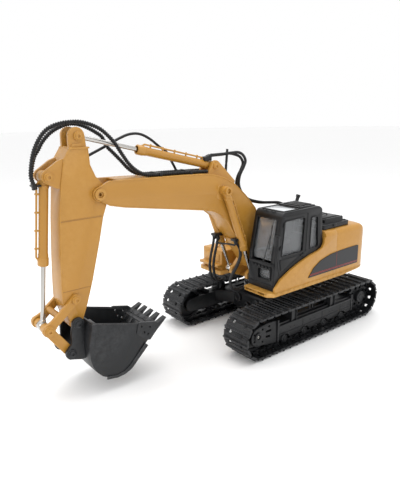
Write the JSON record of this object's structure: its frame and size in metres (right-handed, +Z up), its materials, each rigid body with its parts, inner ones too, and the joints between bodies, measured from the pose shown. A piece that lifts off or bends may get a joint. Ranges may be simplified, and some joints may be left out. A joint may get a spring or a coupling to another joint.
{
  "type": "rc excavator",
  "caption": "Hobby-size remote control tracked excavator with turning house, cab, bent boom, stick, toothed bucket and dummy hydraulic cylinders.",
  "frame": {"origin": "centre of the overall footprint, on the ground under the tracks; the turning axis of the house is 112.8 mm behind it", "axes": "+X forward towards the bucket, +Y to the machine's left (cab side), +Z up"},
  "size_m": [0.5083, 0.19, 0.3017],
  "materials": {
    "yellow_plastic": "moulded ochre plastic, satin",
    "black_plastic": "moulded black plastic, fine grain",
    "track_plastic": "moulded dark plastic, slightly worn",
    "bucket_metal": "dark grey paint on metal",
    "bright_rod": "polished",
    "smoky_window": "clear, slightly smoky plastic pane",
    "grey_metal": "plain machined metal",
    "green_board": "lacquered circuit board",
    "blue_wrap": "shrink wrap"
  },
  "bodies": {
    "undercarriage": {"carbody": "black_plastic", "swing_ring_gear": "grey_metal", "track_frame_left": "black_plastic", "track_frame_right": "black_plastic", "track_belt_left": "track_plastic", "track_belt_right": "track_plastic", "drive_gear_case_left": "black_plastic", "drive_gear_case_right": "black_plastic"},
    "house": {"house_deck": "yellow_plastic", "body_cover_left": "yellow_plastic", "body_cover_right": "yellow_plastic", "tail_cover": "yellow_plastic", "engine_hood": "black_plastic", "engine_wall": "black_plastic", "flank_panel_left": "black_plastic", "flank_panel_right": "black_plastic", "tool_chest": "yellow_plastic", "battery_pack": "blue_wrap", "receiver_board": "green_board", "exhaust_stub": "black_plastic", "swing_motor": "grey_metal", "cab_frame": "black_plastic", "door_window_left": "smoky_window", "quarter_window_left": "smoky_window", "side_window_right": "smoky_window", "windscreen": "smoky_window", "lower_front_window": "smoky_window", "roof_window": "smoky_window", "driver_seat": "black_plastic", "side_mirror": "black_plastic", "boom_foot_pin": "bright_rod"},
    "pinion": {"swing_pinion": "grey_metal"},
    "boom": {"boom": "yellow_plastic", "elbow_pin": "grey_metal"},
    "lift_barrels": {"lift_barrel_left": "yellow_plastic", "lift_barrel_right": "yellow_plastic"},
    "lift_rods": {"lift_rod_left": "bright_rod", "lift_rod_right": "bright_rod"},
    "stick_barrel": {"stick_barrel": "yellow_plastic"},
    "stick_rod": {"stick_rod": "bright_rod"},
    "stick": {"stick": "yellow_plastic", "bucket_pin": "grey_metal"},
    "bucket_barrel": {"bucket_barrel": "yellow_plastic"},
    "bucket_rod": {"bucket_rod": "bright_rod"},
    "rocker": {"rocker": "yellow_plastic"},
    "bucket_link": {"bucket_link": "yellow_plastic"},
    "bucket": {"bucket": "bucket_metal"},
    "sprocket_left": {"drive_sprocket_left": "track_plastic"},
    "idler_left": {"front_idler_left": "track_plastic"},
    "roller_1_left": {"road_roller_1_left": "track_plastic"},
    "roller_2_left": {"road_roller_2_left": "track_plastic"},
    "roller_3_left": {"road_roller_3_left": "track_plastic"},
    "roller_4_left": {"road_roller_4_left": "track_plastic"},
    "sprocket_right": {"drive_sprocket_right": "track_plastic"},
    "idler_right": {"front_idler_right": "track_plastic"},
    "roller_1_right": {"road_roller_1_right": "track_plastic"},
    "roller_2_right": {"road_roller_2_right": "track_plastic"},
    "roller_3_right": {"road_roller_3_right": "track_plastic"},
    "roller_4_right": {"road_roller_4_right": "track_plastic"}
  },
  "joints": [
    {"name": "swing", "type": "hinge", "parent": "undercarriage", "child": "house", "pos_m": [-0.1128, 0, 0.0765], "axis": [0, 0, 1], "range_deg": [-340, 340]},
    {"name": "pinion_spin", "type": "hinge", "parent": "house", "child": "pinion", "pos_m": [-0.1578, 0, 0.06], "axis": [0, 0, 1], "range_deg": [-1370, 1370]},
    {"name": "boom_lift", "type": "hinge", "parent": "house", "child": "boom", "pos_m": [-0.0668, 0, 0.1], "axis": [0, -1, 0], "range_deg": [-12, 40]},
    {"name": "lift_rod_tilt", "type": "hinge", "parent": "house", "child": "lift_rods", "pos_m": [-0.0488, 0, 0.088], "axis": [0, -1, 0], "range_deg": [-14, 40]},
    {"name": "lift_barrel_tilt", "type": "hinge", "parent": "boom", "child": "lift_barrels", "pos_m": [0.0012, 0, 0.215], "axis": [0, -1, 0], "range_deg": [-6, 6]},
    {"name": "stick_swing", "type": "hinge", "parent": "boom", "child": "stick", "pos_m": [0.1752, 0, 0.2295], "axis": [0, 1, 0], "range_deg": [-8, 40]},
    {"name": "stick_barrel_tilt", "type": "hinge", "parent": "boom", "child": "stick_barrel", "pos_m": [0.0062, 0, 0.246], "axis": [0, 1, 0], "range_deg": [-6, 12]},
    {"name": "stick_rod_tilt", "type": "hinge", "parent": "stick", "child": "stick_rod", "pos_m": [0.1932, 0, 0.2925], "axis": [0, 1, 0], "range_deg": [-36, 12]},
    {"name": "bucket_curl", "type": "hinge", "parent": "stick", "child": "bucket", "pos_m": [0.2132, 0, 0.0874], "axis": [0, -1, 0], "range_deg": [-10, 60]},
    {"name": "rocker_swing", "type": "hinge", "parent": "stick", "child": "rocker", "pos_m": [0.2138, 0, 0.1169], "axis": [0, -1, 0], "range_deg": [-10, 46]},
    {"name": "link_swing", "type": "hinge", "parent": "rocker", "child": "bucket_link", "pos_m": [0.2475, 0, 0.0891], "axis": [0, -1, 0], "range_deg": [-26, 8]},
    {"name": "bucket_barrel_tilt", "type": "hinge", "parent": "stick", "child": "bucket_barrel", "pos_m": [0.2292, 0, 0.2528], "axis": [0, -1, 0], "range_deg": [-4, 10]},
    {"name": "bucket_rod_tilt", "type": "hinge", "parent": "rocker", "child": "bucket_rod", "pos_m": [0.2475, 0, 0.0891], "axis": [0, -1, 0], "range_deg": [-40, 10]},
    {"name": "drive_left", "type": "hinge", "parent": "undercarriage", "child": "sprocket_left", "pos_m": [-0.2245, 0.0725, 0.03], "axis": [0, 1, 0], "continuous": true},
    {"name": "idler_spin_left", "type": "hinge", "parent": "undercarriage", "child": "idler_left", "pos_m": [-0.0011, 0.0715, 0.03], "axis": [0, 1, 0], "continuous": true},
    {"name": "roller_spin_1_left", "type": "hinge", "parent": "undercarriage", "child": "roller_1_left", "pos_m": [-0.0528, 0.0715, 0.012], "axis": [0, 1, 0], "continuous": true},
    {"name": "roller_spin_2_left", "type": "hinge", "parent": "undercarriage", "child": "roller_2_left", "pos_m": [-0.0938, 0.0715, 0.012], "axis": [0, 1, 0], "continuous": true},
    {"name": "roller_spin_3_left", "type": "hinge", "parent": "undercarriage", "child": "roller_3_left", "pos_m": [-0.1358, 0.0715, 0.012], "axis": [0, 1, 0], "continuous": true},
    {"name": "roller_spin_4_left", "type": "hinge", "parent": "undercarriage", "child": "roller_4_left", "pos_m": [-0.1768, 0.0715, 0.012], "axis": [0, 1, 0], "continuous": true},
    {"name": "drive_right", "type": "hinge", "parent": "undercarriage", "child": "sprocket_right", "pos_m": [-0.2245, -0.0725, 0.03], "axis": [0, 1, 0], "continuous": true},
    {"name": "idler_spin_right", "type": "hinge", "parent": "undercarriage", "child": "idler_right", "pos_m": [-0.0011, -0.0715, 0.03], "axis": [0, 1, 0], "continuous": true},
    {"name": "roller_spin_1_right", "type": "hinge", "parent": "undercarriage", "child": "roller_1_right", "pos_m": [-0.0528, -0.0715, 0.012], "axis": [0, 1, 0], "continuous": true},
    {"name": "roller_spin_2_right", "type": "hinge", "parent": "undercarriage", "child": "roller_2_right", "pos_m": [-0.0938, -0.0715, 0.012], "axis": [0, 1, 0], "continuous": true},
    {"name": "roller_spin_3_right", "type": "hinge", "parent": "undercarriage", "child": "roller_3_right", "pos_m": [-0.1358, -0.0715, 0.012], "axis": [0, 1, 0], "continuous": true},
    {"name": "roller_spin_4_right", "type": "hinge", "parent": "undercarriage", "child": "roller_4_right", "pos_m": [-0.1768, -0.0715, 0.012], "axis": [0, 1, 0], "continuous": true}
  ],
  "couplings": [
    {"joint": "pinion_spin", "follows": "swing", "ratio": 4},
    {"joint": "lift_rod_tilt", "follows": "boom_lift", "ratio": 0.9365},
    {"joint": "lift_barrel_tilt", "follows": "boom_lift", "ratio": -0.0635},
    {"joint": "stick_barrel_tilt", "follows": "stick_swing", "ratio": 0.211},
    {"joint": "stick_rod_tilt", "follows": "stick_swing", "ratio": -0.789},
    {"joint": "rocker_swing", "follows": "bucket_curl", "ratio": 0.72},
    {"joint": "link_swing", "follows": "bucket_curl", "ratio": -0.38},
    {"joint": "bucket_barrel_tilt", "follows": "bucket_curl", "ratio": 0.10224},
    {"joint": "bucket_rod_tilt", "follows": "bucket_curl", "ratio": -0.61776},
    {"joint": "idler_spin_left", "follows": "drive_left", "ratio": 1},
    {"joint": "roller_spin_1_left", "follows": "drive_left", "ratio": 4},
    {"joint": "roller_spin_2_left", "follows": "drive_left", "ratio": 4},
    {"joint": "roller_spin_3_left", "follows": "drive_left", "ratio": 4},
    {"joint": "roller_spin_4_left", "follows": "drive_left", "ratio": 4},
    {"joint": "idler_spin_right", "follows": "drive_right", "ratio": 1},
    {"joint": "roller_spin_1_right", "follows": "drive_right", "ratio": 4},
    {"joint": "roller_spin_2_right", "follows": "drive_right", "ratio": 4},
    {"joint": "roller_spin_3_right", "follows": "drive_right", "ratio": 4},
    {"joint": "roller_spin_4_right", "follows": "drive_right", "ratio": 4}
  ]
}
